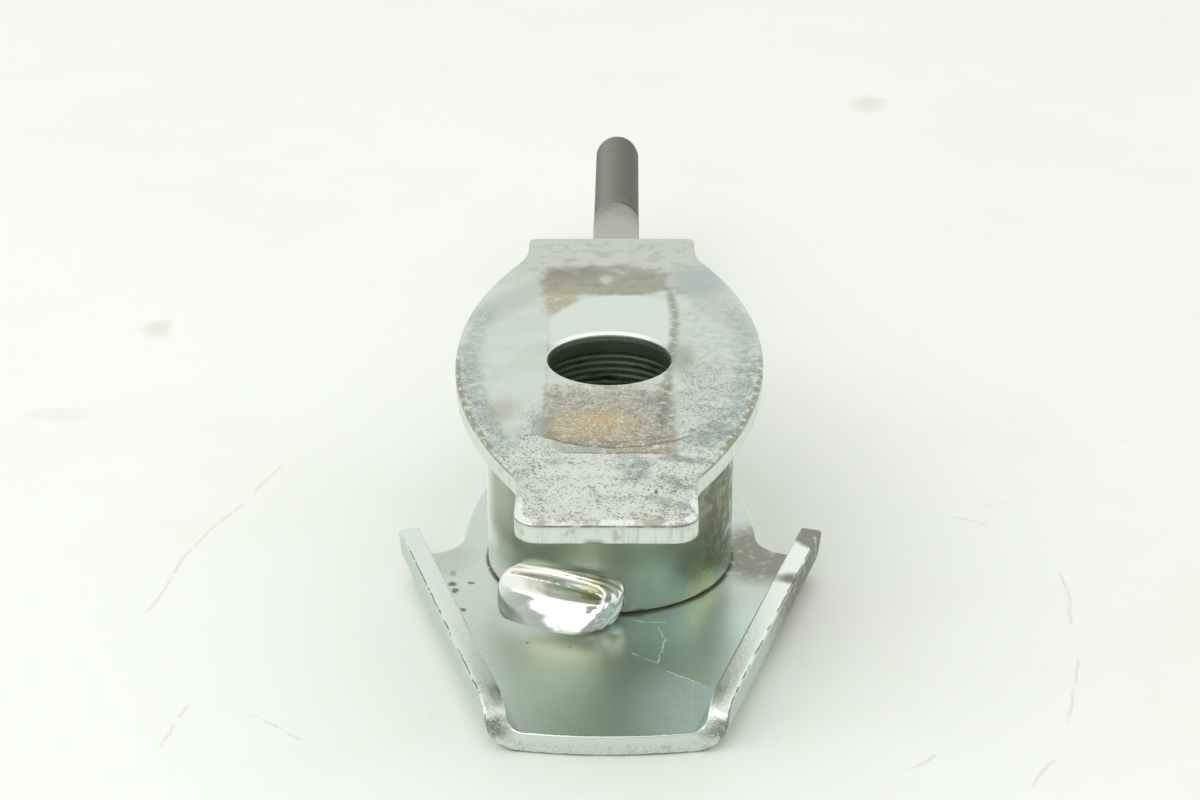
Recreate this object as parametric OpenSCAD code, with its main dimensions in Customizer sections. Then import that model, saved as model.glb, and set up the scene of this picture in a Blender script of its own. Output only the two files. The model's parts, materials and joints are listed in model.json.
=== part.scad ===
// Motorcycle chain adjuster in bright zinc-plated steel, in millimetres.
// Two stamped plates are welded to the ends of a turned collar. The rear axle passes through
// all three. A threaded stud is welded to the back of the collar and points rearwards.
// The origin is on the axle's axis at the underside of the base plate. +Z runs up the axle
// hole, and +Y runs out along the stud.

/* [Axle] */
// Diameter of the axle hole in both plates
axle_hole_d = 17.2; // [14:0.1:20]
// How far the collar's bore stands back from the edge of the plates' holes
bore_step = 0.9; // [0.3:0.1:3]

/* [Collar] */
// Outer diameter of the turned collar
collar_od = 35; // [30:0.5:38]
// Length of the collar, which is the gap between the plates
collar_len = 28; // [22:0.5:40]

/* [Plate outline] */
// Thickness of the sheet that both plates are stamped from
sheet_t = 3; // [2:0.1:4]
// Width across the barrel-shaped middle
barrel_w = 43; // [40:0.5:47]
// Radius of the barrel's two side arcs
barrel_r = 80; // [70:1:95]
// How far behind the axle the barrel is widest
barrel_y = 2.2; // [0:0.1:4]
// Width of the lobe behind the axle
rear_lobe_w = 25.6; // [20:0.1:28]
// Reach of the lobe behind the axle
rear_reach = 46.4; // [44:0.1:60]
// Corner radius of the lobe behind the axle
rear_corner_r = 1.3; // [0.5:0.1:4]
// Radius of the necks where the lobes run into the barrel
neck_r = 7; // [3:0.5:10]

/* [Top plate] */
// Width of the top plate's lobe ahead of the axle
front_lobe_w = 22.8; // [18:0.1:26]
// Reach of the top plate's lobe ahead of the axle
front_reach = 49.5; // [46:0.1:60]
// Corner radius of the top plate's front lobe
front_corner_r = 3; // [0.5:0.1:6]

/* [Base plate] */
// Reach of the base plate ahead of the axle
base_reach = 48.9; // [40:0.1:60]
// Radius of the slight bow of its front edge
bow_r = 67; // [55:1:150]
// Distance from the middle to each flange's inner face, level with the axle
flange_x = 27.1; // [26:0.1:32]
// Angle that each flange splays out towards the rear
flange_splay = 17.2; // [5:0.1:18]
// Rise of the flanges above the plate's upper face
flange_rise = 3.6; // [3:0.1:12]
// How far behind the axle's level the flanges end, measured along them
flange_end = 0; // [-6:0.5:4]
// Inner radius of the bend between plate and flange
bend_r = 1.2; // [0.5:0.1:2.5]
// Radius that rounds the front end of each flange
nose_r = 5; // [2:0.1:8]
// Radius of the hollow between each flange's rear end and the barrel
hollow_r = 5; // [2:0.1:8]

/* [Stud] */
// Diameter of the stud's plain shank
stud_d = 8; // [6:0.5:12]
// Length of the stud from the collar's wall to its tip
stud_len = 116; // [60:1:140]
// Length of the threaded end
thread_len = 35; // [20:1:55]
// How much smaller the thread's crests are than the shank, on the diameter
thread_undersize = 0.1; // [0.05:0.05:0.3]
// Length of the run-out, where the thread fades into the shank
runout_len = 1.6; // [0.8:0.1:2.5]
// Length of the chamfer at the stud's tip
tip_chamfer = 1; // [0.4:0.1:1.5]
// Sideways offset of the stud as it was welded
stud_offset = 0.4; // [-1:0.1:1]

/* [Weld beads] */
// Radius of the large bead that joins collar and base plate at the front
main_bead_r = 5.3; // [3:0.1:6]
// Radius of the three smaller beads between collar and plates
small_bead_r = 3.2; // [2:0.1:4.5]
// Arc from the first ripple of the large bead to its last, in degrees
main_bead_sweep = 22; // [5:1:40]
// Arc from the first ripple of a small bead to its last, in degrees
small_bead_sweep = 24; // [5:1:40]
// Direction of the large bead's middle, counted from +X, in degrees
main_bead_at = -110; // [-125:1:-100]
// How much smaller a bead is where the weld ends than where it starts
bead_taper = 0.18; // [0:0.02:0.4]
// Ripples along a bead
ripples = 6; // [3:1:9]
// Radius of the bead around the stud's root
stud_bead_r = 2.8; // [1.5:0.1:3.5]

/* [Hidden] */
$fn = 96;

collar_r = collar_od / 2;
top_under_z = sheet_t + collar_len;
stud_z = sheet_t + collar_len / 2;
// A bead's centre stands off the corner by shares of its own radius
bead_out = 0.19;
bead_up = 0.47;
// Margin by which cutters pass through what they cut
past = 1;
// Allowance that lets two rounds cross instead of only touching
seam = 0.01;

base_colour = [0.66, 0.70, 0.66];
top_colour = [0.70, 0.72, 0.68];
collar_colour = [0.55, 0.62, 0.56];
stud_colour = [0.42, 0.40, 0.37];
weld_colour = [0.82, 0.83, 0.82];

// Rounds the concave corner between a straight edge and the barrel. The round's centre is c,
// it touches the two edges at p1 and p2, and inner lies within the plate.
module concave_round(c, r, p1, p2, inner) {
    difference() {
        polygon([p1, c, p2, inner]);
        translate(c) circle(r + seam);
    }
}

// Centre of the right-hand side arc of the barrel
arc_c = [barrel_w / 2 - barrel_r, barrel_y];

// The point of the barrel's arc that faces point c
function on_barrel(c) = arc_c + barrel_r * (c - arc_c) / norm(c - arc_c);

// Level at which a neck's round is centred, for a lobe of width w. dir is 1 behind the axle
// and -1 ahead of it.
function neck_y(w, dir) =
    barrel_y + dir * sqrt(pow(barrel_r + neck_r, 2) - pow(w / 2 + neck_r - arc_c.x, 2));

module barrel() {
    intersection() {
        translate(arc_c) circle(barrel_r);
        mirror([1, 0]) translate(arc_c) circle(barrel_r);
    }
}

// A lobe that reaches along +Y from the axle, with rounded corners
module lobe(w, reach, corner_r) {
    translate([-w / 2, 0]) square([w, reach - corner_r]);
    translate([-w / 2 + corner_r, 0]) square([w - 2 * corner_r, reach]);
    for (side = [-1, 1])
        translate([side * (w / 2 - corner_r), reach - corner_r]) circle(corner_r);
}

// The two rounds between a lobe and the barrel
module necks(w, dir) {
    c = [w / 2 + neck_r, neck_y(w, dir)];
    p2 = on_barrel(c);
    for (side = [0, 1])
        mirror([side, 0])
            concave_round(c, neck_r, [w / 2, c.y], p2, [w / 2 - past, p2.y - dir * past]);
}

// The stretch of the barrel between two levels
module barrel_between(y1, y2) {
    intersection() {
        barrel();
        translate([-barrel_w, y1]) square([2 * barrel_w, y2 - y1]);
    }
}

// The rear half of both plates
module rear_outline() {
    barrel_between(0, rear_reach - rear_corner_r);
    lobe(rear_lobe_w, rear_reach, rear_corner_r);
    necks(rear_lobe_w, 1);
}

// The front half of the top plate
module front_outline() {
    barrel_between(front_corner_r - front_reach, front_corner_r);
    mirror([0, 1]) lobe(front_lobe_w, front_reach, front_corner_r);
    necks(front_lobe_w, -1);
}

module axle_hole() {
    translate([0, 0, -past]) cylinder(h = sheet_t + 2 * past, d = axle_hole_d);
}

module top_plate() {
    color(top_colour)
        translate([0, 0, top_under_z])
            difference() {
                union() {
                    linear_extrude(sheet_t) rear_outline();
                    linear_extrude(sheet_t) front_outline();
                }
                axle_hole();
            }
}

// Directions along a flange towards the rear, and across it outwards
along = [sin(flange_splay), cos(flange_splay)];
across = [cos(flange_splay), -sin(flange_splay)];

// Point of the right-hand flange's frame: u across its inner face, v along it
function flange_point(u, v) = [flange_x, 0] + u * across + v * along;

// How far across the flange's frame the hollow's round touches the rear edge
hollow_from = flange_point(0, flange_end + hollow_r) - arc_c;
hollow_u = -hollow_from * across
    + sqrt(pow(hollow_from * across, 2) - hollow_from * hollow_from
           + pow(barrel_r + hollow_r, 2));

// The hollow between the right-hand flange's rear end and the barrel
module hollow() {
    c = flange_point(hollow_u, flange_end + hollow_r);
    p1 = flange_point(hollow_u, flange_end);
    concave_round(c, hollow_r, p1, on_barrel(c), p1 - [2, 3] * sheet_t);
}

// Length of the sheet along a flange, to well past the front and the rear edge
ahead_len = base_reach / cos(flange_splay) + 4 * sheet_t;
behind_len = rear_reach + barrel_w;

// Plan of the right-hand half of the base plate, over its flange's outer face
module base_half_outline() {
    over_u = sheet_t + past;
    intersection() {
        union() {
            rear_outline();
            hollow();
            polygon([[-past, flange_point(over_u, -ahead_len).y],
                     flange_point(over_u, -ahead_len),
                     flange_point(over_u, flange_end),
                     flange_point(hollow_u - past, flange_end),
                     [-past, 0]]);
        }
        translate([0, -2 * base_reach]) square([2 * barrel_w, 2 * (base_reach + rear_reach)]);
    }
}

// Section across a flange: the flat of the sheet, the bend and the upright
module bent_section() {
    outer_r = bend_r + sheet_t;
    translate([-2 * barrel_w, 0]) square([2 * barrel_w - bend_r, sheet_t]);
    translate([-bend_r, outer_r])
        intersection() {
            difference() {
                circle(outer_r);
                circle(bend_r);
            }
            translate([0, -outer_r]) square(outer_r);
        }
    translate([0, outer_r]) square([sheet_t, flange_rise - bend_r]);
}

// The right-hand half's sheet, bent up along its flange
module bent_sheet() {
    translate(concat(flange_point(0, behind_len), 0))
        rotate([0, 0, -flange_splay])
            rotate([90, 0, 0])
                linear_extrude(ahead_len + behind_len) bent_section();
}

// What the front of the sheet is trimmed to: the bowed edge, turned about the bow's centre,
// with the round that takes each flange down to it
module front_trim() {
    flange_top = sheet_t + flange_rise;
    nose_back = sqrt(pow(nose_r, 2) - pow(max(0, nose_r - flange_rise), 2));
    nose_base = max(sheet_t, flange_top - nose_r);
    translate([0, bow_r - base_reach, -past])
        rotate_extrude()
            translate([0, past])
                difference() {
                    translate([0, -past]) square([bow_r, flange_top + 2 * past]);
                    difference() {
                        translate([bow_r - nose_back, nose_base])
                            square([nose_back + past, flange_top + 3 * past]);
                        translate([bow_r - nose_back, flange_top - nose_r]) circle(nose_r + seam);
                    }
                }
}

// Half of the base plate, bent and then cut to its outline
module base_half() {
    intersection() {
        bent_sheet();
        translate([0, 0, -past]) linear_extrude(2 * (sheet_t + flange_rise)) base_half_outline();
        front_trim();
    }
}

module base_plate() {
    color(base_colour)
        difference() {
            union() {
                base_half();
                mirror([1, 0, 0]) base_half();
            }
            axle_hole();
        }
}

module collar() {
    color(collar_colour)
        translate([0, 0, sheet_t])
            difference() {
                cylinder(h = collar_len, d = collar_od);
                translate([0, 0, -past])
                    cylinder(h = collar_len + 2 * past, d = axle_hole_d + 2 * bore_step);
            }
}

module collar_envelope() {
    translate([0, 0, sheet_t]) cylinder(h = collar_len, d = collar_od);
}

// Half of the stud's lengthwise section: plain shank, run-out, threaded end at its crests and
// chamfered tip
module stud_section() {
    shank_r = stud_d / 2;
    crest_r = shank_r - thread_undersize / 2;
    tip_y = collar_r + stud_len;
    thread_y = tip_y - thread_len;
    polygon([[0, 0],
             [shank_r, 0],
             [shank_r, thread_y - runout_len],
             [crest_r, thread_y],
             [crest_r, tip_y - tip_chamfer],
             [crest_r - tip_chamfer, tip_y],
             [0, tip_y]]);
}

// The stud is coped at its root to seat on the collar's wall
module stud() {
    color(stud_colour)
        difference() {
            translate([stud_offset, 0, stud_z])
                rotate([-90, 0, 0]) rotate_extrude() stud_section();
            collar_envelope();
            translate([-stud_d, -stud_d, 0])
                cube([2 * stud_d, stud_d, 2 * stud_z]);
        }
}

// A convex bead in the corner between the collar and a plate whose face is at z = 0, made of
// one round ripple after another
module corner_bead(r, at, sweep) {
    difference() {
        for (i = [0 : ripples - 1]) {
            share = i / (ripples - 1);
            ripple_r = r * (1 - bead_taper * share);
            rotate([0, 0, at + sweep * (share - 0.5)])
                translate([collar_r + bead_out * r, 0, bead_up * ripple_r]) sphere(ripple_r);
        }
        translate([0, 0, -collar_len / 2]) cylinder(h = 2 * collar_len, d = collar_od);
        translate([0, 0, -collar_len / 2])
            cube([2 * barrel_w, 2 * barrel_w, collar_len], center = true);
    }
}

module base_bead(r, at, sweep) {
    color(weld_colour)
        translate([0, 0, sheet_t]) corner_bead(r, at, sweep);
}

module top_bead(r, at, sweep) {
    color(weld_colour)
        translate([0, 0, top_under_z])
            mirror([0, 0, 1]) corner_bead(r, at, sweep);
}

module weld_base_front() {
    base_bead(main_bead_r, main_bead_at, main_bead_sweep);
}

module weld_base_rear() {
    base_bead(small_bead_r, main_bead_at + 180, small_bead_sweep);
}

module weld_top_front() {
    top_bead(small_bead_r, -180 - main_bead_at, small_bead_sweep);
}

module weld_top_rear() {
    top_bead(small_bead_r, -main_bead_at, small_bead_sweep);
}

// The bead that runs round the stud's root
module weld_stud() {
    color(weld_colour)
        difference() {
            translate([stud_offset, collar_r, stud_z])
                rotate([-90, 0, 0])
                    rotate_extrude()
                        translate([stud_d / 2, 0]) circle(stud_bead_r);
            translate([stud_offset, 0, stud_z])
                rotate([-90, 0, 0]) cylinder(h = 2 * collar_od, d = stud_d);
            collar_envelope();
        }
}

base_plate();
top_plate();
collar();
stud();
weld_base_front();
weld_base_rear();
weld_top_front();
weld_top_rear();
weld_stud();
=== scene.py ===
"""Dresses the packed chain adjuster: rounded sheet edges, a cut thread, weld beads and worn zinc."""

import json
import math

import bmesh
import bpy
from bpy.props import FloatProperty, FloatVectorProperty, IntProperty, PointerProperty
from mathutils import Matrix, Vector, noise


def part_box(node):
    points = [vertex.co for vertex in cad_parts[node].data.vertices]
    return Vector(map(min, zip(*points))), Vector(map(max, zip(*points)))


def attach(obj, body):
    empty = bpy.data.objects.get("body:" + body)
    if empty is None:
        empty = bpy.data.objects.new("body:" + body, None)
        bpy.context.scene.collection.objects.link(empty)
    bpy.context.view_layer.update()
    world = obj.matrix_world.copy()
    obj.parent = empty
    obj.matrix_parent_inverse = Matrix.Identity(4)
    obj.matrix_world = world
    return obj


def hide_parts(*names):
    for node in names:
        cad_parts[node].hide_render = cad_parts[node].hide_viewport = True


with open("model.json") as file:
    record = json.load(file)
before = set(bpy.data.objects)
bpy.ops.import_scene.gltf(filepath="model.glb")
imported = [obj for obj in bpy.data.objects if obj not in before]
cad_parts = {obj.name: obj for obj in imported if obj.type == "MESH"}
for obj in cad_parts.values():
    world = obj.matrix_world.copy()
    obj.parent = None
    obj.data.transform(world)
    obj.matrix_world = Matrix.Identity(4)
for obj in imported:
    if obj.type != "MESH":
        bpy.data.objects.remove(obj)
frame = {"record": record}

bl_info = {
    "name": "Chain Adjuster Dressing",
    "version": (1, 0, 0),
    "blender": (4, 5, 0),
    "location": "View3D > Sidebar > Adjuster",
    "description": "Builds the visible pieces and finishes of a welded chain adjuster",
    "category": "Object",
}

MM = 0.001
MERGE = 1e-7
SHARP_FROM = math.radians(40)

# Places that the packed frame gives
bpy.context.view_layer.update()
BASE_LOW, BASE_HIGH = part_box("base_plate")
TOP_LOW, TOP_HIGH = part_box("top_plate")
COLLAR_LOW, COLLAR_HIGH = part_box("collar")
STUD_LOW, STUD_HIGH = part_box("stud")
MOUNTS = {mount["name"]: mount for mount in frame["record"]["mounts"]}

SHEET = TOP_HIGH.z - TOP_LOW.z
COLLAR_R = COLLAR_HIGH.x
HOLE_R = MOUNTS["axle_bore"]["dims"]["r_mm"] * MM
BORE_R = HOLE_R + 0.9 * MM
STUD_X = (STUD_LOW.x + STUD_HIGH.x) / 2
STUD_Z = (STUD_LOW.z + STUD_HIGH.z) / 2
STUD_R = (STUD_HIGH.x - STUD_LOW.x) / 2
THREAD_R = MOUNTS["adjuster_stud"]["dims"]["r_mm"] * MM
STUD_TIP = STUD_HIGH.y
# The barrel's side arcs, as both plates are stamped
BARREL_R = 80 * MM
BARREL_Y = 2.2 * MM
BARREL_X = TOP_HIGH.x - BARREL_R
# The base plate's fold, in millimetres
SPLAY = math.radians(17.2)
ALONG = Vector((math.sin(SPLAY), math.cos(SPLAY)))
ACROSS = Vector((math.cos(SPLAY), -math.sin(SPLAY)))
FLANGE_X = 27.1
BEND_R = 1.2
BOW_R = 67.0
# Half width, reach, corner radius and neck radius of the lobes, in millimetres
REAR_LOBE = (12.8, 46.4, 1.3, 14.0)
FRONT_LOBE = (11.4, 49.5, 3.0, 7.0)
EDGE_LAYER = "edge"


def colour_property(name, description, value):
    return FloatVectorProperty(
        name=name, description=description, default=value, size=3, min=0, max=1, subtype="COLOR"
    )


def length_property(name, description, value):
    return FloatProperty(
        name=name, description=description, default=value, min=0, unit="LENGTH", subtype="DISTANCE"
    )


class SheetSettings(bpy.types.PropertyGroup):
    """Edges of the two stamped plates."""

    rolled_edge: length_property("Rolled edge", "Width of the top plate's rolled upper edge", 1.15 * MM)
    hole_roll: length_property("Hole roll", "Width of the roll round its hole", 1.3 * MM)
    roll_depth: length_property("Roll depth", "How far both rolls dip", 0.4 * MM)
    sheared_edge: length_property("Sheared edge", "Round on its lower edge", 0.35 * MM)
    base_roll: length_property("Base roll", "Round on the base plate's upper edge", 0.3 * MM)
    base_edge: length_property("Base edge", "Round on its lower edge", 0.5 * MM)
    edge_steps: IntProperty(name="Edge steps", description="Facets across a round", default=4, min=1)


class CollarSettings(bpy.types.PropertyGroup):
    """Turned surfaces of the collar."""

    chamfer: length_property("Chamfer", "Broken edge at both ends", 0.4 * MM)
    ring_pitch: length_property("Ring pitch", "Spacing of the tool rings in the bore", 1.0 * MM)
    ring_depth: length_property("Ring depth", "Depth of the tool rings in the bore", 0.14 * MM)
    steps: IntProperty(name="Steps", description="Facets around the collar", default=160, min=24)


class StudSettings(bpy.types.PropertyGroup):
    """The metric thread and the plain shank."""

    pitch: length_property("Pitch", "Pitch of the thread", 1.25 * MM)
    thread_length: length_property("Thread length", "Length of the cut thread", 35 * MM)
    chamfer: length_property("Chamfer", "Chamfer at the tip", 1.0 * MM)
    steps: IntProperty(name="Steps", description="Facets in one turn", default=48, min=12)


class BeadSettings(bpy.types.PropertyGroup):
    """Weld beads between the collar and the plates."""

    ripple_height: length_property("Ripple height", "Height of the ripples", 0.16 * MM)
    sunk: length_property("Sunk", "How deep a bead runs into what it joins", 0.3 * MM)


class FinishSettings(bpy.types.PropertyGroup):
    """Colours of the plating, its stains and the bare steel."""

    zinc: colour_property("Zinc", "Clean plating of the top plate", (0.63, 0.70, 0.64))
    base_zinc: colour_property("Base zinc", "Clean plating of the base plate", (0.60, 0.68, 0.61))
    collar_zinc: colour_property("Collar zinc", "Plating of the collar", (0.52, 0.62, 0.53))
    weld: colour_property("Weld", "Plating over the weld metal", (0.82, 0.86, 0.82))
    steel: colour_property("Steel", "Dull steel of the stud", (0.43, 0.44, 0.38))
    thread: colour_property("Thread", "Dirty steel of the thread", (0.25, 0.25, 0.225))
    rust: colour_property("Rust", "Orange-brown stain", (0.52, 0.40, 0.18))
    grime: colour_property("Grime", "Brown dirt in corners", (0.16, 0.15, 0.10))
    speck: colour_property("Speck", "Dark pits in the plating", (0.16, 0.18, 0.16))
    bluish: colour_property("Bluish", "Thin blue-grey film", (0.36, 0.42, 0.43))


class StageSettings(bpy.types.PropertyGroup):
    """Table, lamps and camera."""

    floor: colour_property("Floor", "Pale table", (0.87, 0.90, 0.855))
    lamp_power: FloatProperty(name="Lamp power", description="Softbox", default=3.4, min=0, unit="POWER")


SETTINGS = {
    "adjuster_sheets": SheetSettings,
    "adjuster_collar": CollarSettings,
    "adjuster_stud": StudSettings,
    "adjuster_beads": BeadSettings,
    "adjuster_finish": FinishSettings,
    "adjuster_stage": StageSettings,
}


# Pieces


def show_piece(name, bm, material, node):
    """Turns a bmesh into a smooth closed piece that stands for a node of the frame."""
    bmesh.ops.remove_doubles(bm, verts=bm.verts, dist=MERGE)
    bmesh.ops.dissolve_degenerate(bm, edges=bm.edges, dist=MERGE)
    bmesh.ops.recalc_face_normals(bm, faces=bm.faces)
    mesh = bpy.data.meshes.new(name)
    bm.to_mesh(mesh)
    bm.free()
    mesh.shade_smooth()
    mesh.set_sharp_from_angle(angle=SHARP_FROM)
    mesh.materials.append(material)
    piece = bpy.data.objects.new(name, mesh)
    bpy.context.scene.collection.objects.link(piece)
    weighted = piece.modifiers.new("Flat faces stay flat", "WEIGHTED_NORMAL")
    weighted.keep_sharp = True
    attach(piece, "root")
    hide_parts(node)
    return piece


def flange_point(u, v):
    """A point of the right-hand flange's frame in plan: u across its inner face, v along it."""
    return Vector((FLANGE_X, 0)) + u * ACROSS + v * ALONG


def bearing(direction):
    """Angle of a direction in plan, in degrees."""
    return math.degrees(math.atan2(direction.y, direction.x))


def arc(centre, radius, start, end, count=None):
    """Points in plan on an arc from one bearing to another."""
    count = count or max(5, math.ceil(abs(end - start) * radius / 60))
    turns = [math.radians(start + (end - start) * i / count) for i in range(count + 1)]
    return [centre + radius * Vector((math.cos(turn), math.sin(turn))) for turn in turns]


def blank_front():
    """The folded flange's rounded nose and the bowed front edge, laid out flat."""
    sheet, nose_r, nose_steps, bend_steps = SHEET / MM, 5.0, 16, 8
    upright = math.pi / 2
    middle_r = BEND_R + sheet / 2
    bend_top = sheet + BEND_R
    flange_top = BASE_HIGH.z / MM
    bow = Vector((0, BOW_R + BASE_LOW.y / MM))
    nose_z = flange_top - nose_r
    nose_back = math.sqrt(nose_r**2 - (sheet - nose_z) ** 2)
    last = math.asin((sheet - nose_z) / nose_r)
    turns = [upright + (last - upright) * i / nose_steps for i in range(nose_steps + 1)]
    levels = [nose_z + nose_r * math.sin(turn) for turn in turns]
    spots = []
    for level in levels:
        reach = BOW_R - nose_back + math.sqrt(max(0, nose_r**2 - (level - nose_z) ** 2))
        if level > bend_top:
            spots.append((middle_r * upright + level - bend_top, sheet / 2, reach))
        else:
            turn = math.acos((bend_top - level) / middle_r)
            spots.append((middle_r * turn, middle_r * math.sin(turn) - BEND_R, reach))
    last_turn = spots[-1][0] / middle_r
    for i in range(1, bend_steps + 1):
        turn = last_turn * (1 - i / bend_steps)
        spots.append((middle_r * turn, middle_r * math.sin(turn) - BEND_R, BOW_R))
    points = []
    for flat, folded, reach in spots:
        away = flange_point(folded, 0) - bow
        v = -away.dot(ALONG) - math.sqrt(away.dot(ALONG) ** 2 - away.length_squared + reach**2)
        points.append(flange_point(flat - BEND_R, v))
    return points + arc(bow, BOW_R, bearing(points[-1] - bow), -90)[1:]


def lobe(half_width, reach, corner, neck, way):
    """Half of a lobe's outline, from the middle of its end to the barrel, and its bearing there.

    way is 1 for a rear lobe and -1 for a front one.
    """
    barrel, barrel_r = Vector((BARREL_X, way * BARREL_Y)) / MM, BARREL_R / MM
    neck_x = half_width + neck
    neck_c = Vector((neck_x, barrel.y + math.sqrt((barrel_r + neck) ** 2 - (neck_x - barrel.x) ** 2)))
    points = [
        Vector((0, reach)),
        *arc(Vector((half_width - corner, reach - corner)), corner, 90, 0),
        *arc(neck_c, neck, 180, bearing(barrel - neck_c) + 360),
    ]
    return [Vector((p.x, way * p.y)) for p in points], way * bearing(neck_c - barrel)


def top_half():
    """Right-hand half of the top plate's outline, from rear to front."""
    rear, leaves = lobe(*REAR_LOBE, 1)
    front, meets = lobe(*FRONT_LOBE, -1)
    side = arc(Vector((BARREL_X, BARREL_Y)) / MM, BARREL_R / MM, leaves, meets)
    return rear + side[1:-1] + front[::-1]


def blank_half():
    """Right-hand half of the base plate's outline before it is folded, from rear to front."""
    hollow, tip, lean, shoulder = 5.0, 0.7, 2.3, 1.5
    rear, leaves = lobe(*REAR_LOBE, 1)
    barrel, barrel_r = Vector((BARREL_X, BARREL_Y)) / MM, BARREL_R / MM
    off = flange_point(0, hollow) - barrel
    side = off.dot(ACROSS)
    hollow_u = math.sqrt(side**2 - off.length_squared + (barrel_r + hollow) ** 2) - side
    hollow_c = flange_point(hollow_u, hollow)
    front = blank_front()
    rear_corner = flange_point((front[0] - flange_point(0, 0)).dot(ACROSS) - tip, lean - tip)
    return [
        *rear,
        *arc(barrel, barrel_r, leaves, bearing(hollow_c - barrel))[1:],
        *arc(hollow_c, hollow, bearing(barrel - hollow_c) + 360, bearing(-ALONG) + 360)[1:],
        flange_point(shoulder, 0),
        *arc(rear_corner, tip, bearing(ALONG), bearing(ACROSS)),
        *front,
    ]


def inset(outline, distance):
    """Moves a clockwise outline inwards."""
    moved = []
    for i, point in enumerate(outline):
        before = (point - outline[i - 1]).normalized()
        after = (outline[(i + 1) % len(outline)] - point).normalized()
        middle = (before + after).normalized()
        inward = Vector((middle.y, -middle.x))
        moved.append(point + inward * distance / max(0.5, middle.dot(before)))
    return moved


def stamped(half, roll, hole_roll, dip, break_edge, steps):
    """A flat sheet in millimetres: rolled above, broken below, with the axle's hole.

    The edge layer runs from 0 on the upper face to 1 on the lower face.
    """
    outline = half + [Vector((-p.x, p.y)) for p in reversed(half[1:-1])]
    thickness, hole_r, hole_points = SHEET / MM, HOLE_R / MM, 96
    shares = [i / steps for i in range(steps + 1)]
    turns = [(share, math.sin(math.pi / 2 * share), math.cos(math.pi / 2 * share)) for share in shares]
    rings = [(0.35 * share, 1.0, 1 - sine, 1 - cosine) for share, sine, cosine in turns]
    rings += [(0.45, 0.6, 0.0, 0.0), (0.55, 0.4, 0.0, 0.0)]
    rings += [(0.65 + 0.35 * share, 0.0, 1 - cosine, 1 - sine) for share, sine, cosine in turns]

    bm = bmesh.new()
    layer = bm.verts.layers.float.new(EDGE_LAYER)
    levels = []
    for mark, height, inwards, away in rings:
        loops = []
        for upper_r, curve in ((roll, outline), (hole_roll, None)):
            width = upper_r if height == 1 else break_edge
            z = thickness * height + (-dip if height == 1 else break_edge) * away
            if curve:
                points = inset(curve, width * inwards)
            else:
                last = hole_points - 1
                points = arc(Vector((0, 0)), hole_r + width * inwards, 0, 360 * last / hole_points, last)
            loops.append([bm.verts.new((*point, z)) for point in points])
        for vert in loops[0] + loops[1]:
            vert[layer] = mark
        levels.append(loops)
    for upper, lower in zip(levels, levels[1:]):
        for loop, under in zip(upper, lower):
            for i in range(len(loop)):
                bm.faces.new((loop[i - 1], loop[i], under[i], under[i - 1]))
    for cap in (levels[0], levels[-1]):
        edges = [bm.edges.get((loop[i - 1], loop[i])) for loop in cap for i in range(len(loop))]
        bmesh.ops.triangle_fill(bm, edges=edges, use_beauty=True)
    return bm


def flat_sheet(settings):
    """The top plate, in its place. Its rolls are deepest at the front lobe."""
    roll, hole_roll, dip = settings.rolled_edge / MM, settings.hole_roll / MM, settings.roll_depth / MM
    shallower, from_y, over = 0.65, -32, 20
    bm = stamped(top_half(), roll, hole_roll, dip, settings.sheared_edge / MM, settings.edge_steps)
    for vert in bm.verts:
        drop = SHEET / MM - vert.co.z
        if drop <= dip:
            vert.co.z += shallower * drop * smooth((vert.co.y - from_y) / over)
        vert.co = vert.co * MM + Vector((0, 0, TOP_LOW.z))
    return bm


def cut(bm, point, normal, clear=False):
    """Cuts a mesh along a plane, and clears away what lies past it if asked to."""
    everything = bm.verts[:] + bm.edges[:] + bm.faces[:]
    bmesh.ops.bisect_plane(bm, geom=everything, plane_co=point, plane_no=normal, clear_outer=clear)


def folded_sheet(settings):
    """The base plate: a stamped blank, folded up along both sides."""
    roll, broken = settings.base_roll / MM, settings.base_edge / MM
    bm = stamped(blank_half(), roll, roll, roll, broken, settings.edge_steps)
    middle_r = BEND_R + SHEET / MM / 2
    bend_steps = 12
    for side in (1, -1):
        for i in range(bend_steps + 1):
            spot = flange_point(middle_r * math.pi / 2 * i / bend_steps - BEND_R, 0)
            cut(bm, (side * spot.x, spot.y, 0), (side * ACROSS.x, ACROSS.y, 0))
    for vert in bm.verts:
        vert.co = folded(vert.co, middle_r) * MM
    return bm


def folded(spot, middle_r):
    """Where a point of the flat blank goes when its flange is folded up, in millimetres."""
    away = Vector((abs(spot.x), spot.y)) - flange_point(0, 0)
    flat, v = away.dot(ACROSS) + BEND_R, away.dot(ALONG)
    if flat <= 0:
        return spot
    reach = SHEET / MM + BEND_R - spot.z
    turn = min(flat / middle_r, math.pi / 2)
    rise = max(0, flat - middle_r * math.pi / 2)
    plan = flange_point(reach * math.sin(turn) - BEND_R, v)
    level = SHEET / MM + BEND_R - reach * math.cos(turn) + rise
    return Vector((math.copysign(plan.x, spot.x), plan.y, level))


def spun(profile, steps, turns=1, climb=0.0):
    """Spins (radius, height) points round the Z axis: closed, or a helix where each turn climbs."""
    bm = bmesh.new()
    verts = [bm.verts.new((r, 0, z)) for r, z in profile]
    edges = [bm.edges.new((verts[i - 1], verts[i])) for i in range(1 if climb else 0, len(verts))]
    bmesh.ops.spin(
        bm,
        geom=verts + edges,
        cent=(0, 0, 0),
        axis=(0, 0, 1),
        dvec=(0, 0, climb / steps),
        angle=math.tau * turns,
        steps=steps * turns,
        use_merge=not climb,
    )
    return bm


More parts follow.
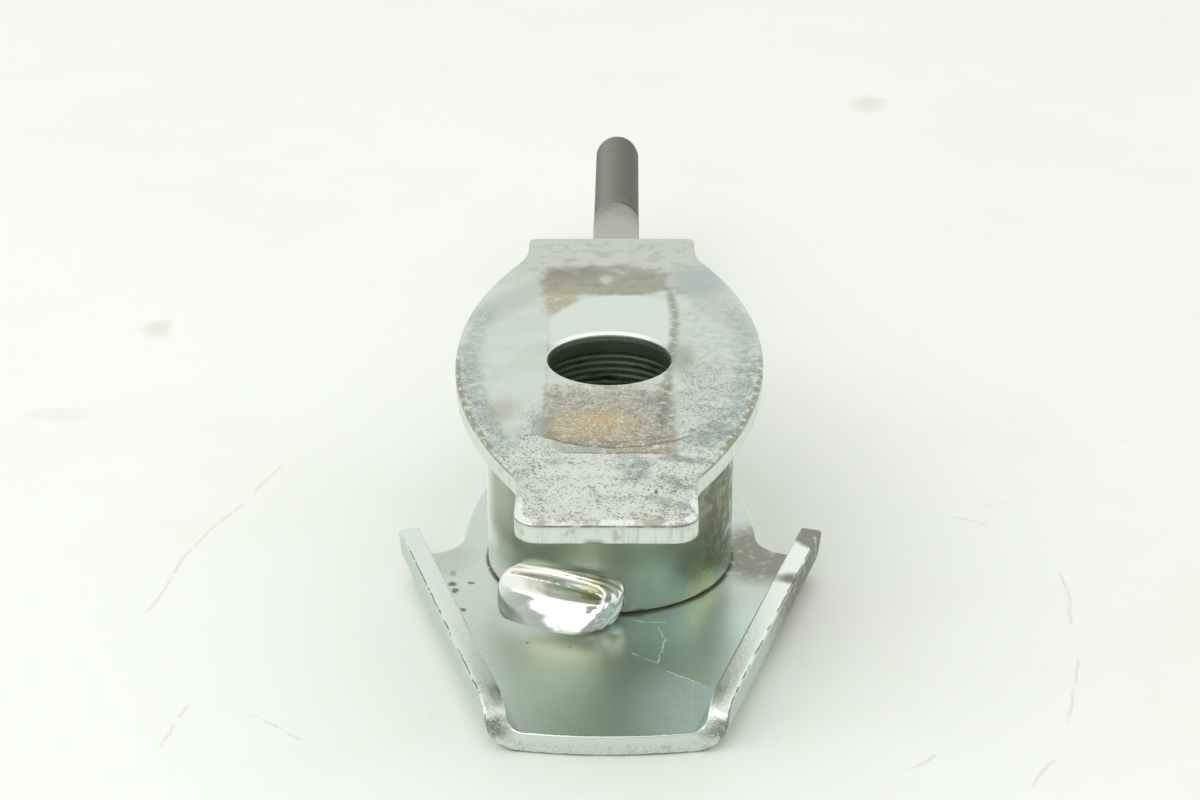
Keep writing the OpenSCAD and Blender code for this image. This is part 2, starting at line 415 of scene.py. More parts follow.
def collar_profile(settings):
    """Section of the collar: a plain outer wall and a bore with tool rings of uneven depth."""
    low, high, cut_back = COLLAR_LOW.z, COLLAR_HIGH.z, settings.chamfer
    outside = [
        (COLLAR_R - cut_back, low),
        (COLLAR_R, low + cut_back),
        (COLLAR_R, high - cut_back),
        (COLLAR_R - cut_back, high),
    ]
    rings, points_a_ring = round((high - low) / settings.ring_pitch), 6
    mean, uneven, drift = 0.7, 0.6, 9
    count = rings * points_a_ring
    inside = []
    for i in range(count + 1):
        share = i / count
        depth = mean + uneven * noise.noise(Vector((0, 0, drift * share)))
        wave = math.sin(math.pi * rings * share) ** 2 * depth
        inside.append((BORE_R + settings.ring_depth * wave, high + (low - high) * share))
    return outside + inside


def rearwards(y):
    """Turns what stands along +Z to +Y, on the stud's axis and with its origin at y."""
    return Matrix.Translation((STUD_X, y, STUD_Z)) @ Matrix.Rotation(-math.pi / 2, 4, "X")


def threaded_rod(settings):
    """The stud: a helical thread with a chamfered tip, a run-out and the plain shank."""
    pitch, length = settings.pitch, settings.thread_length
    depth, blunt, run_out = 0.54 * pitch, 0.02 * pitch, 1.5 * pitch
    root_r, hidden = THREAD_R - depth, 0.5 * MM
    flanks = ((0.0, 0), (0.12, blunt), (0.43, depth - blunt), (0.5, depth), (0.57, depth - blunt))
    tooth = [(root_r + rise, share) for share, rise in flanks + ((0.88, blunt), (1.0, 0))]
    tooth = [(r, share * pitch - length - pitch) for r, share in tooth]
    bm = spun(tooth, settings.steps, math.ceil(length / pitch) + 2, pitch)
    bmesh.ops.remove_doubles(bm, verts=bm.verts, dist=MERGE)
    for share in (1.0, 0.66, 0.33):
        cut(bm, (0, 0, -settings.chamfer * share), (0, 0, 1))
    cut(bm, (0, 0, 0), (0, 0, 1), True)
    cut(bm, (0, 0, -length), (0, 0, -1), True)
    for vert in bm.verts:
        radius, most = vert.co.xy.length, THREAD_R - settings.chamfer - vert.co.z
        if radius > most:
            vert.co.xy *= most / radius
    rim = [edge for edge in bm.edges if edge.is_boundary]
    tip = [edge for edge in rim if edge.verts[0].co.z > -pitch / 10]
    bmesh.ops.contextual_create(bm, geom=tip)
    loop = [edge for edge in rim if edge not in tip]
    for level in (-length - run_out, COLLAR_R - hidden - STUD_TIP):
        made = bmesh.ops.extrude_edge_only(bm, edges=loop)
        loop = [e for e in made["geom"] if isinstance(e, bmesh.types.BMEdge)]
        for vert in {v for edge in loop for v in edge.verts}:
            vert.co.xy *= STUD_R / vert.co.xy.length
            vert.co.z = level
    bmesh.ops.contextual_create(bm, geom=loop)
    bmesh.ops.transform(bm, matrix=rearwards(STUD_TIP), verts=bm.verts)
    return bm


def bead(half_length, section_r, out, up, at, ripple, hangs, sunk):
    """A weld bead in the corner between the collar and a plate.

    It is a ball with its pole on the bead's face: a smooth last pool with two flat faces, low and
    to the left, and older ripples round it. It is bent round the collar. out and up place its
    middle from the corner. Numbers without a unit are shares of the ball's radius.
    """
    bm = bmesh.new()
    bmesh.ops.create_uvsphere(bm, u_segments=160, v_segments=128, radius=1)
    fullness, lean, shear = 2.2, math.radians(43), 0.10
    facets, sharpness = ((math.radians(27), 0.60), (math.radians(66), 0.47)), 24
    pool_x, pool_y, pool_rx, pool_ry, flatter = -0.10, -0.12, 0.84, 0.80, 0.4
    ripples, first_ripple, trough = 6.5, 1.03, 0.4
    lumpy, toe_lumpy, growth, core, relief = 0.035, 0.09, 0.26, 0.45, 0.45
    for vert in bm.verts:
        ball = vert.co.copy()
        shape = ball * sum(abs(c) ** fullness for c in ball) ** (-1 / fullness)
        rise = shape.y - pool_y
        pool = math.hypot((shape.x - pool_x) / pool_rx, (rise if rise > 0 else flatter * rise) / pool_ry)
        older = smooth((shape.x * 0.6 + shape.y * 0.8 + 0.35) / 0.5) * smooth((ball.z + 0.55) / 0.4)
        wave = math.sin(math.tau * (pool - first_ripple) * ripples) - trough
        swell = ripple * older * smooth((pool - 0.97) / 0.07) * wave
        lump = lumpy * section_r * noise.noise(ball * 1.6 + Vector((at, 0, 0)))
        toe = smooth((shape.x - 0.45) / 0.4) * smooth((0.1 - shape.y) / 0.5)
        lump += toe_lumpy * section_r * toe * noise.noise(ball * 5.5 + Vector((0, at, 0)))
        out_part = shape.z * math.cos(lean) - shape.y * math.sin(lean)
        up_part = shape.z * math.sin(lean) + shape.y * math.cos(lean)
        size = 1 + growth * smooth(-2 * up_part) * smooth(2 * out_part)
        for tilt, reach in facets:
            towards = max(0.01, out_part * math.cos(tilt) + up_part * math.sin(tilt))
            size = (size**-sharpness + (reach / towards) ** -sharpness) ** (-1 / sharpness)
        inside = smooth((1.02 - pool) / 0.12) * smooth((shape.z + 0.2) / 0.3)
        size = section_r * (core + (1 - core) * size + (size - 1) * relief * inside) + swell + lump
        along = half_length * (shape.x * (1 + shear * ball.y) + shear * ball.y)
        radius = COLLAR_R + buried(out + out_part * size, sunk)
        height = buried(up + up_part * size, sunk)
        angle = math.radians(at) + along / (COLLAR_R + out)
        level = TOP_LOW.z - height if hangs else BASE_LOW.z + SHEET + height
        vert.co = (radius * math.cos(angle), radius * math.sin(angle), level)
    return bm


def buried(level, sunk):
    """Flattens what runs deeper than sunk into the piece below, and keeps the mesh open there."""
    return level if level > -sunk else -sunk + 0.1 * (level + sunk)


def smooth(value):
    """A share from 0 to 1 with soft ends."""
    value = max(0.0, min(1.0, value))
    return value * value * (3 - 2 * value)


def stud_bead(sunk):
    """The bead that runs round the stud's root, with its ripples."""
    ring_r, section_r, count, steps = STUD_R, 2.8 * MM, 20, 220
    ripples, skew, swing, lumpy, lump_size = 22, 1.3, 0.035, 0.05, 3 * MM
    turns = [math.tau * i / count for i in range(count)]
    bm = spun([(ring_r + section_r * math.cos(turn), section_r * math.sin(turn)) for turn in turns], steps)
    matrix, inside = rearwards(COLLAR_R), COLLAR_R - sunk
    for vert in bm.verts:
        around = math.atan2(vert.co.y, vert.co.x)
        radius = vert.co.xy.length
        lean = math.atan2(vert.co.z, radius - ring_r)
        wave = math.cos(ripples * around + skew * math.sin(lean))
        swell = 1 + swing * wave + lumpy * noise.noise(vert.co / lump_size)
        vert.co.xy *= (ring_r + (radius - ring_r) * swell) / radius
        vert.co.z *= swell
        vert.co = matrix @ vert.co
        reach = vert.co.xy.length
        if reach < inside:
            vert.co.xy *= inside / reach
    return bm


# Finishes


class Value:
    """An output of a node, ready for sums and products with numbers and other outputs."""

    def __init__(self, coat, socket):
        self.coat, self.socket = coat, socket

    def __add__(self, other):
        return self.coat.math("ADD", self, other)

    def __sub__(self, other):
        return self.coat.math("SUBTRACT", self, other)

    def __rsub__(self, other):
        return self.coat.math("SUBTRACT", other, self)

    def __mul__(self, other):
        return self.coat.math("MULTIPLY", self, other)

    def __truediv__(self, other):
        return self.coat.math("DIVIDE", self, other)

    def __abs__(self):
        return self.coat.math("ABSOLUTE", self)

    __radd__ = __add__
    __rmul__ = __mul__


class Board:
    """The nodes of one material or of the room, added and linked by calls."""

    def __init__(self, tree, coordinates):
        self.nodes, self.links = tree.nodes, tree.links
        self.place = Value(self, self.nodes.new("ShaderNodeTexCoord").outputs[coordinates])

    def feed(self, socket, value):
        if isinstance(value, Value):
            self.links.new(value.socket, socket)
        else:
            socket.default_value = value

    def vector(self, operation, *values, scale=None):
        node = self.nodes.new("ShaderNodeVectorMath")
        node.operation = operation
        for socket, value in zip(node.inputs, values):
            self.feed(socket, value)
        if scale is not None:
            self.feed(node.inputs["Scale"], scale)
        scalar = operation in ("DISTANCE", "LENGTH")
        return Value(self, node.outputs["Value" if scalar else "Vector"])

    def split(self, value):
        node = self.nodes.new("ShaderNodeSeparateXYZ")
        self.feed(node.inputs[0], value)
        return [Value(self, socket) for socket in node.outputs]

    def join(self, x, y, z):
        node = self.nodes.new("ShaderNodeCombineXYZ")
        for socket, value in zip(node.inputs, (x, y, z)):
            self.feed(socket, value)
        return Value(self, node.outputs[0])

    def reach(self, x, y):
        """Distance from the origin in the plane of x and y."""
        return self.vector("LENGTH", self.join(x, y, 0.0))

    def math(self, operation, *values):
        node = self.nodes.new("ShaderNodeMath")
        node.operation = operation
        for socket, value in zip(node.inputs, values):
            self.feed(socket, value)
        return Value(self, node.outputs[0])

    def most(self, first, *rest):
        for value in rest:
            first = self.math("MAXIMUM", first, value)
        return first

    def step(self, value, low, high):
        """0 at low, 1 at high, soft between. low may be the larger."""
        node = self.nodes.new("ShaderNodeMapRange")
        node.interpolation_type = "SMOOTHSTEP"
        ends = (low, high, 0.0, 1.0) if low < high else (high, low, 1.0, 0.0)
        self.feed(node.inputs["Value"], value)
        for name, end in zip(("From Min", "From Max", "To Min", "To Max"), ends):
            node.inputs[name].default_value = end
        return Value(self, node.outputs["Result"])

    def mix(self, share, first, second):
        """A colour between two colours."""
        node = self.nodes.new("ShaderNodeMix")
        node.data_type = "RGBA"
        node.clamp_factor = True
        self.feed(node.inputs["Factor"], share)
        for socket, value in ((node.inputs[6], first), (node.inputs[7], second)):
            self.feed(socket, value if isinstance(value, Value) else (*value, 1))
        return Value(self, node.outputs[2])

    def between(self, share, first, second):
        """A number between two numbers."""
        node = self.nodes.new("ShaderNodeMix")
        node.clamp_factor = True
        self.feed(node.inputs["Factor"], share)
        self.feed(node.inputs[2], first)
        self.feed(node.inputs[3], second)
        return Value(self, node.outputs[0])


class Coat(Board):
    """A finish under construction: one principled shader and the patterns that feed it.

    Patterns read the object's coordinates in millimetres. Each film that is laid changes the
    colour, the roughness and the metallic share of what lies under it.
    """

    def __init__(self, name, colour, rough):
        self.material = bpy.data.materials.new(name)
        self.material.use_nodes = True
        super().__init__(self.material.node_tree, "Object")
        self.shader = self.nodes["Principled BSDF"]
        self.place = self.vector("SCALE", self.place, scale=1 / MM)
        self.x, self.y, self.z = self.split(self.place)
        self.colour, self.rough, self.metal = tuple(colour), rough, 1.0

    def lay(self, mask, colour=None, share=1.0, rough=None, metal=None):
        """Lays a film where the mask is 1."""
        amount = mask * share
        if colour is not None:
            self.colour = self.mix(amount, self.colour, tuple(colour))
        if rough is not None:
            self.rough = self.between(amount, self.rough, rough)
        if metal is not None:
            self.metal = self.between(amount, self.metal, metal)

    def noise(self, output, size, detail, roughness=0.5, spot=None):
        node = self.nodes.new("ShaderNodeTexNoise")
        self.feed(node.inputs["Vector"], spot or self.place)
        node.inputs["Scale"].default_value = 1 / size
        node.inputs["Detail"].default_value = detail
        node.inputs["Roughness"].default_value = roughness
        return Value(self, node.outputs[output])

    def grain(self, size, detail=2.0, roughness=0.5, stretch=None):
        """Cloudy noise whose features are about size millimetres across."""
        spot = stretch and self.vector("MULTIPLY", self.place, stretch)
        return self.noise(0, size, detail, roughness, spot)

    def wander(self, size, reach):
        """The place, pushed about so that borders aren't straight."""
        push = self.vector("SUBTRACT", self.noise("Color", size, 3), (0.5, 0.5, 0.5))
        return self.vector("ADD", self.place, self.vector("SCALE", push, scale=2 * reach))

    def specks(self, size, low, high, at):
        """Separate round specks on a grid of cells of that size."""
        node = self.nodes.new("ShaderNodeTexVoronoi")
        self.feed(node.inputs["Vector"], at)
        node.inputs["Scale"].default_value = 1 / size
        return self.step(Value(self, node.outputs["Distance"]), high, low)

    def offset(self, spot, at):
        """How far at, or else the place, lies from a spot in plan: across and along."""
        x, y, _ = self.split(at or self.place)
        return x - spot[0], y - spot[1]

    def field(self, centre, half, soft, at=None):
        """A soft-edged rectangle in plan."""
        across, along = self.offset(centre, at)
        beside = self.step(abs(across), half[0] + soft, half[0] - soft)
        return beside * self.step(abs(along), half[1] + soft, half[1] - soft)

    def patch(self, centre, radii, soft, at=None):
        """A soft-edged oval in plan. soft is a share of its radii."""
        across, along = self.offset(centre, at)
        return self.step(self.reach(across / radii[0], along / radii[1]), 1 + soft, 1 - soft)

    def stroke(self, start, end, width, at=None):
        """A straight scratch in plan from start to end."""
        across, along = self.offset(start, at)
        run = Vector((end[0] - start[0], end[1] - start[1]))
        share = across * (run.x / run.length_squared) + along * (run.y / run.length_squared)
        share = self.math("MINIMUM", self.math("MAXIMUM", share, 0.0), 1.0)
        return self.step(self.reach(across - share * run.x, along - share * run.y), width, width / 3)

    def several(self, draw, table, at):
        """The most of several patches or strokes, each given by five numbers."""
        return self.most(*(draw(row[:2], row[2:4], row[4], at) for row in table))

    def edge_mark(self):
        """The mark that a stamped sheet keeps for each of its corners."""
        node = self.nodes.new("ShaderNodeAttribute")
        node.attribute_name = EDGE_LAYER
        return Value(self, node.outputs["Fac"])

    def bump(self, height, reach):
        """Feeds the surface relief: height from 0 to 1 stands for reach millimetres."""
        node = self.nodes.new("ShaderNodeBump")
        node.inputs["Distance"].default_value = reach * MM
        self.feed(node.inputs["Height"], height)
        under = self.shader.inputs["Normal"]
        if under.links:
            self.links.new(under.links[0].from_socket, node.inputs["Normal"])
        self.links.new(node.outputs["Normal"], under)

    def finish(self):
        self.feed(self.shader.inputs["Base Color"], self.colour)
        self.feed(self.shader.inputs["Roughness"], self.rough)
        self.feed(self.shader.inputs["Metallic"], self.metal)
        return self.material


def rim_distance(coat):
    """Millimetres in from the barrel's nearer side arc."""
    beside = abs(coat.x)
    spot = coat.join(beside, coat.y, 0.0)
    reach = coat.vector("DISTANCE", spot, (BARREL_X / MM, BARREL_Y / MM, 0))
    return BARREL_R / MM - reach


def top_zinc(finish):
    """Worn plating of the top plate, with the print of the slot that it was clamped against."""
    coat = Coat("top_zinc", finish.zinc, 0.3)
    lay, step, grain, bump = coat.lay, coat.step, coat.grain, coat.bump
    patch, stroke, most = coat.patch, coat.stroke, coat.most
    x, y, z = coat.x, coat.y, coat.z
    loose, ragged, torn = coat.wander(4, 0.9), coat.wander(1.2, 0.5), coat.wander(0.5, 0.3)
    top_z = TOP_HIGH.z / MM
    face = step(z, top_z - 0.7, top_z - 0.2)
    wall = step(z, top_z - 0.6, top_z - 1.1)
    edge = coat.edge_mark()
    mottle = grain(5, 4, 0.6)
    cloud = grain(1.3, 4, 0.65)
    brushed = grain(0.33, 3, 0.7, stretch=(0.8, 1, 1))
    flecks = grain(0.3, 3, 0.65)

    lay(step(mottle, 0.35, 0.7), (0.565, 0.625, 0.555))
    lay(step(brushed, 0.52, 0.68), (0.48, 0.54, 0.48), 0.4)
    lay(step(brushed, 0.46, 0.34), (0.71, 0.77, 0.71), 0.35)

    # The rear half, the right side and the shoulders
    smudge = grain(2.6, 4, 0.65)
    rear = face * step(y + mottle * 8.0, 28, 42)
    lay(rear, (0.55, 0.57, 0.49), 0.7, rough=0.42)
    lay(rear * step(smudge, 0.48, 0.66), (0.38, 0.39, 0.3), 0.55)
    right = face * step(x, 8.5, 13) * step(cloud, 0.42, 0.62) * step(y, 30, 20)
    lay(right, (0.42, 0.46, 0.41), 0.45)
    shoulders = most(
        stroke((-10.0, 27.5), (-18.8, 14.5), 4.2, loose),
        stroke((12.5, 25.5), (19.5, 11.0), 3.6, loose) * 0.8,
    )
    lay(face * shoulders, (0.46, 0.5, 0.45), 0.6)
    smear = patch((13.0, 28.8), (4.6, 5.6), 0.5, loose)
    lay(face * smear, finish.bluish, 0.65)

    # A film along the barrel's rim
    rim = rim_distance(coat)
    rim_noise = rim + (mottle - 0.5) * 3.0
    ahead = step(abs(y + 5.0), 28, 20)
    band = face * ahead * step(rim_noise, 0.3, 1.4) * step(rim_noise, 4.4, 2.6)
    lay(band * step(cloud, 0.3, 0.55), finish.bluish, 0.65, rough=0.42)
    lay(band * step(flecks, 0.54, 0.62), (0.72, 0.76, 0.72), 0.6)
    tan_spot = patch((-14.6, -17.5), (2.2, 3.4), 0.6, loose)
    lay(face * tan_spot, (0.4, 0.36, 0.27), 0.55)
    brink = step(rim, 0.95, 0.45) * step(y, 8, -6) * step(cloud, 0.4, 0.52)
    lay(step(z, top_z - 0.8, top_z - 0.3) * brink, (0.3, 0.26, 0.17), 0.8)

    # The print behind the hole, and the clean plating ahead of it
    soft = coat.wander(5, 8)
    rear_band = face * coat.field((-0.1, 28.8), (9.2, 4.8), 1.9, soft) * step(y + smudge, 22.8, 24.6)
    lay(rear_band, (0.36, 0.36, 0.285), 0.85, rough=0.5)
    lay(rear_band * step(smudge, 0.45, 0.62), (0.27, 0.26, 0.19), 0.65)
    lay(rear_band * step(cloud, 0.48, 0.62), (0.46, 0.45, 0.35), 0.5)
    dark_left = patch((-5.5, 31.5), (4.2, 3.0), 0.6, loose)
    lay(face * dark_left, (0.26, 0.25, 0.19), 0.5)
    lay(face * patch((-0.7, 29.2), (0.9, 1.5), 0.7, ragged), (0.64, 0.66, 0.58), 0.7)
    stain = patch((-7.4, 21.0), (2.6, 6.4), 0.4, loose)
    lay(face * stain * step(cloud, 0.26, 0.5), (0.42, 0.37, 0.22), 0.75, rough=0.45)

    clean = (
        coat.field((-0.1, 14.0), (8.5, 8.9), 0.25, torn)
        * patch((2.0, 6.5), (12.2, 16.8), 0.04, ragged)
    )
    lay(face * clean, (0.68, 0.745, 0.685), 0.92, rough=0.26, metal=1.0)

    # The print ahead of the hole
    from_middle = x - 1.0
    wobble = (grain(2.5, 3) - 0.5) * 0.9
    bowed = from_middle * from_middle * -0.036 + y + wobble
    front = face * coat.field((0.2, -18.6), (8.7, 10.1), 0.8, ragged) * step(bowed, -28.8, -28.2)
    lay(front, (0.4, 0.385, 0.31), 0.82, rough=0.48)
    violet = patch((6.2, -17.2), (2.7, 5.6), 0.5, loose)
    lay(front * violet, (0.36, 0.37, 0.36), 0.65)
    strip = front * step(bowed, -25.0, -27.0)
    lay(strip, (0.36, 0.32, 0.22), 0.6)
    near_hole = front * step(y + cloud * 5.0, -9.5, -7.0)
    lay(near_hole, (0.68, 0.72, 0.65), 0.7)
    lay(front * step(smudge, 0.46, 0.62), (0.26, 0.24, 0.17), 0.45)
    lay(front * step(cloud, 0.52, 0.62), (0.25, 0.23, 0.16), 0.45)
    lay(front * step(cloud, 0.45, 0.36), (0.8, 0.82, 0.76), 0.4)
    ochre = patch((-2.2, -21.4), (6.4, 4.0), 0.6, loose)
    lay(front * ochre * step(cloud, 0.34, 0.54), finish.rust, 0.6)
    orange = patch((-0.8, -20.2), (3.6, 2.0), 0.7, loose)
    lay(front * orange * step(cloud, 0.3, 0.5), (0.58, 0.43, 0.19), 0.55)
    lay(front * step(flecks, 0.54, 0.6), (0.8, 0.81, 0.72), 0.5, rough=0.34)
    lay(front * step(flecks, 0.46, 0.4), (0.22, 0.2, 0.14), 0.4)

    # The front lobe
    lobe = face * step(y + cloud * 4.0, -26.0, -29.0)
    lay(lobe, (0.7, 0.75, 0.67), 0.85, rough=0.32)
    lay(lobe * step(smudge, 0.48, 0.66), (0.58, 0.55, 0.44), 0.5)
    blots = (3.7, -34.3, 1.9, 3.8, 0.5), (-6.6, -32.5, 1.2, 1.0, 0.6), (-11.0, -35.8, 0.8, 2.2, 0.6)
    wipes = (
        (7.3, -30.8, 12.2, -32.4, 1.5),
        (7.6, -37.2, 10.2, -40.0, 1.6),
        (5.6, -42.6, 9.6, -45.0, 1.3),
        (12.2, -25.5, 14.6, -23.0, 3.0),
    )
    smears = most(coat.several(patch, blots, ragged), coat.several(stroke, wipes, ragged))
    lay(face * smears * step(cloud, 0.3, 0.52), (0.34, 0.39, 0.38), 0.7, rough=0.42)

    # Pits and crumbs of dirt
    pepper_zone = most(
        lobe,
        step(x, 8.8, 10) * step(y, 4, -10) * 0.8,
        step(rim, 5, 1.5) * step(y, 8, -6) * 0.9,
        step(abs(x + 9.5), 3.5, 1.0) * step(y, -12, -22),
    )
    crowd = flecks + smudge * 0.3
    clear = patch((-2.0, -37.0), (4.5, 9.0), 0.6, loose) * -0.05
    crowd = crowd + clear
    pepper = face * pepper_zone * step(crowd, 0.7, 0.75)
    lay(pepper, finish.speck, 0.85, rough=0.5, metal=0.7)
    crumbs = grain(0.6, 4, 0.75) + smudge * 0.35
    crumbs = face * pepper_zone * step(crumbs, 0.74, 0.8)
    lay(crumbs, (0.24, 0.26, 0.22), 0.75)

    # Lines along the borders of the print
    on_arc = face * step(abs(from_middle), 10.4, 8.8)
    film = (
        face
        * step(abs(from_middle), 9.6, 6.8)
        * step(bowed, -28.0, -28.5)
        * step(y + wobble, -30.4, -29.7)
        * (0.65 + step(x, -2, 2) * 0.25)
    )
    lay(film * step(cloud, 0.3, 0.5), (0.3, 0.27, 0.19))
    lay(film * step(flecks, 0.53, 0.59), (0.74, 0.73, 0.64), 0.7)
    lines = most(
        step(abs(bowed + 28.3), 0.38, 0.12),
        step(abs(bowed + 26.6), 0.3, 0.05) * 0.5,
        step(abs(y + wobble + 30.0), 0.26, 0.06) * step(abs(from_middle), 7.5, 5.5),
    )
    lines = on_arc * lines * step(cloud, 0.34, 0.46)
    drift = (abs(y - 14.0) - 9.0) * 0.07
    right_line = (
        step(abs(x + drift + wobble - 8.9), 1.1, 0.1)
        * step(y, 27, 22.5)
        * step(y, -28, -22)
        * step(cloud, 0.34, 0.5)
    )
    left_line = (
        step(abs(x + 8.6 + wobble * 0.5), 0.36, 0.12)
        * step(y, 12, 4)
        * step(y, -29, -27)
        * step(grain(0.9, 3, 0.7), 0.4, 0.52)
        * 0.4
    )
    sides = face * most(right_line, left_line) * 0.75
    corner_smudge = face * patch((-9.2, -21.5), (1.1, 2.6), 0.5, ragged)
    lay(corner_smudge, (0.33, 0.35, 0.32), 0.7)
    blot = face * patch((10.0, 0.5), (1.9, 4.6), 0.6, ragged)
    lay(blot, (0.3, 0.32, 0.26), 0.6, rough=0.5)
    dark = most(lines, sides)
    lay(dark, (0.2, 0.19, 0.13), 0.8, rough=0.55, metal=0.7)
    lay(face * patch((6.2, -41.0), (0.24, 0.7), 0.3), (0.36, 0.07, 0.03), 0.95, metal=0.3)

    # The plate's edge, outside and in the hole
    lay(wall, (0.76, 0.82, 0.76), 0.6)
    # The front lobe's rolled edge is painted near white: partly bright wear, partly a painted highlight.
    # Brown patches of dirt lie on it.
    roll = step(edge, 0.01, 0.05) * step(edge, 0.36, 0.3) * step(y, -40, -45)
    lay(roll, (0.9, 0.91, 0.86), 0.9, rough=0.22)
    lay(roll * step(grain(3.5, 4, 0.6), 0.54, 0.42), (0.36, 0.34, 0.26), 0.75)
    seam = (
        step(abs(z + (0.5 - top_z)), 0.18, 0.05)
        * step(grain(2.5, 3, 0.6), 0.35, 0.5)
        * step(y, 12, -2)
    )
    lay(seam, finish.grime, 0.8, metal=0.5)
    streaks = grain(0.7, 3, 0.6, stretch=(1, 1, 0.12))
    lay(wall * step(streaks, 0.5, 0.72), (0.38, 0.41, 0.35), 0.45)
    drips = wall * step(grain(1.7, 3, 0.6, stretch=(1, 1, 0.6)), 0.58, 0.68)
    lay(drips, (0.4, 0.37, 0.27), 0.5, rough=0.5)
    drip = wall * step(abs(x + 1.5), 1.7, 0.5) * step(z, TOP_LOW.z / MM + 1.0, TOP_LOW.z / MM + 0.2)
    lay(drip, (0.22, 0.2, 0.11), 0.8)
    hem = step(z, TOP_LOW.z / MM + 0.5, TOP_LOW.z / MM) * step(cloud, 0.4, 0.6)
    lay(hem, (0.4, 0.37, 0.28), 0.5)
    from_axis = coat.reach(x, y)
    # Painted highlight: the rear part of the hole's roll is painted near white.
    painted_rim_highlight = (
        step(edge, 0.01, 0.06)
        * step(edge, 0.4, 0.34)
        * step(from_axis, HOLE_R / MM + 2.0, HOLE_R / MM + 1.6)
        * step(y, 1, 5)
        * step(abs(x + 0.6), 8.2, 4.5)
    )
    lay(painted_rim_highlight, (1.0, 1.0, 0.97), 0.9, rough=0.2)
    # Painted shade: the wall inside the hole is painted dark green.
    hole = step(from_axis, HOLE_R / MM + 0.3, HOLE_R / MM + 0.05)
    lay(hole * wall, (0.25, 0.31, 0.22), 0.85, rough=0.42)

    bump(grain(9, 2), 0.05)
    bump(brushed, 0.006)
    bump(1.0 - most(pepper, crumbs), 0.03)
    bump(1.0 - dark, 0.05)
    bump(front * flecks, 0.03)
    bump(wall * streaks, 0.05)
    return coat.finish()


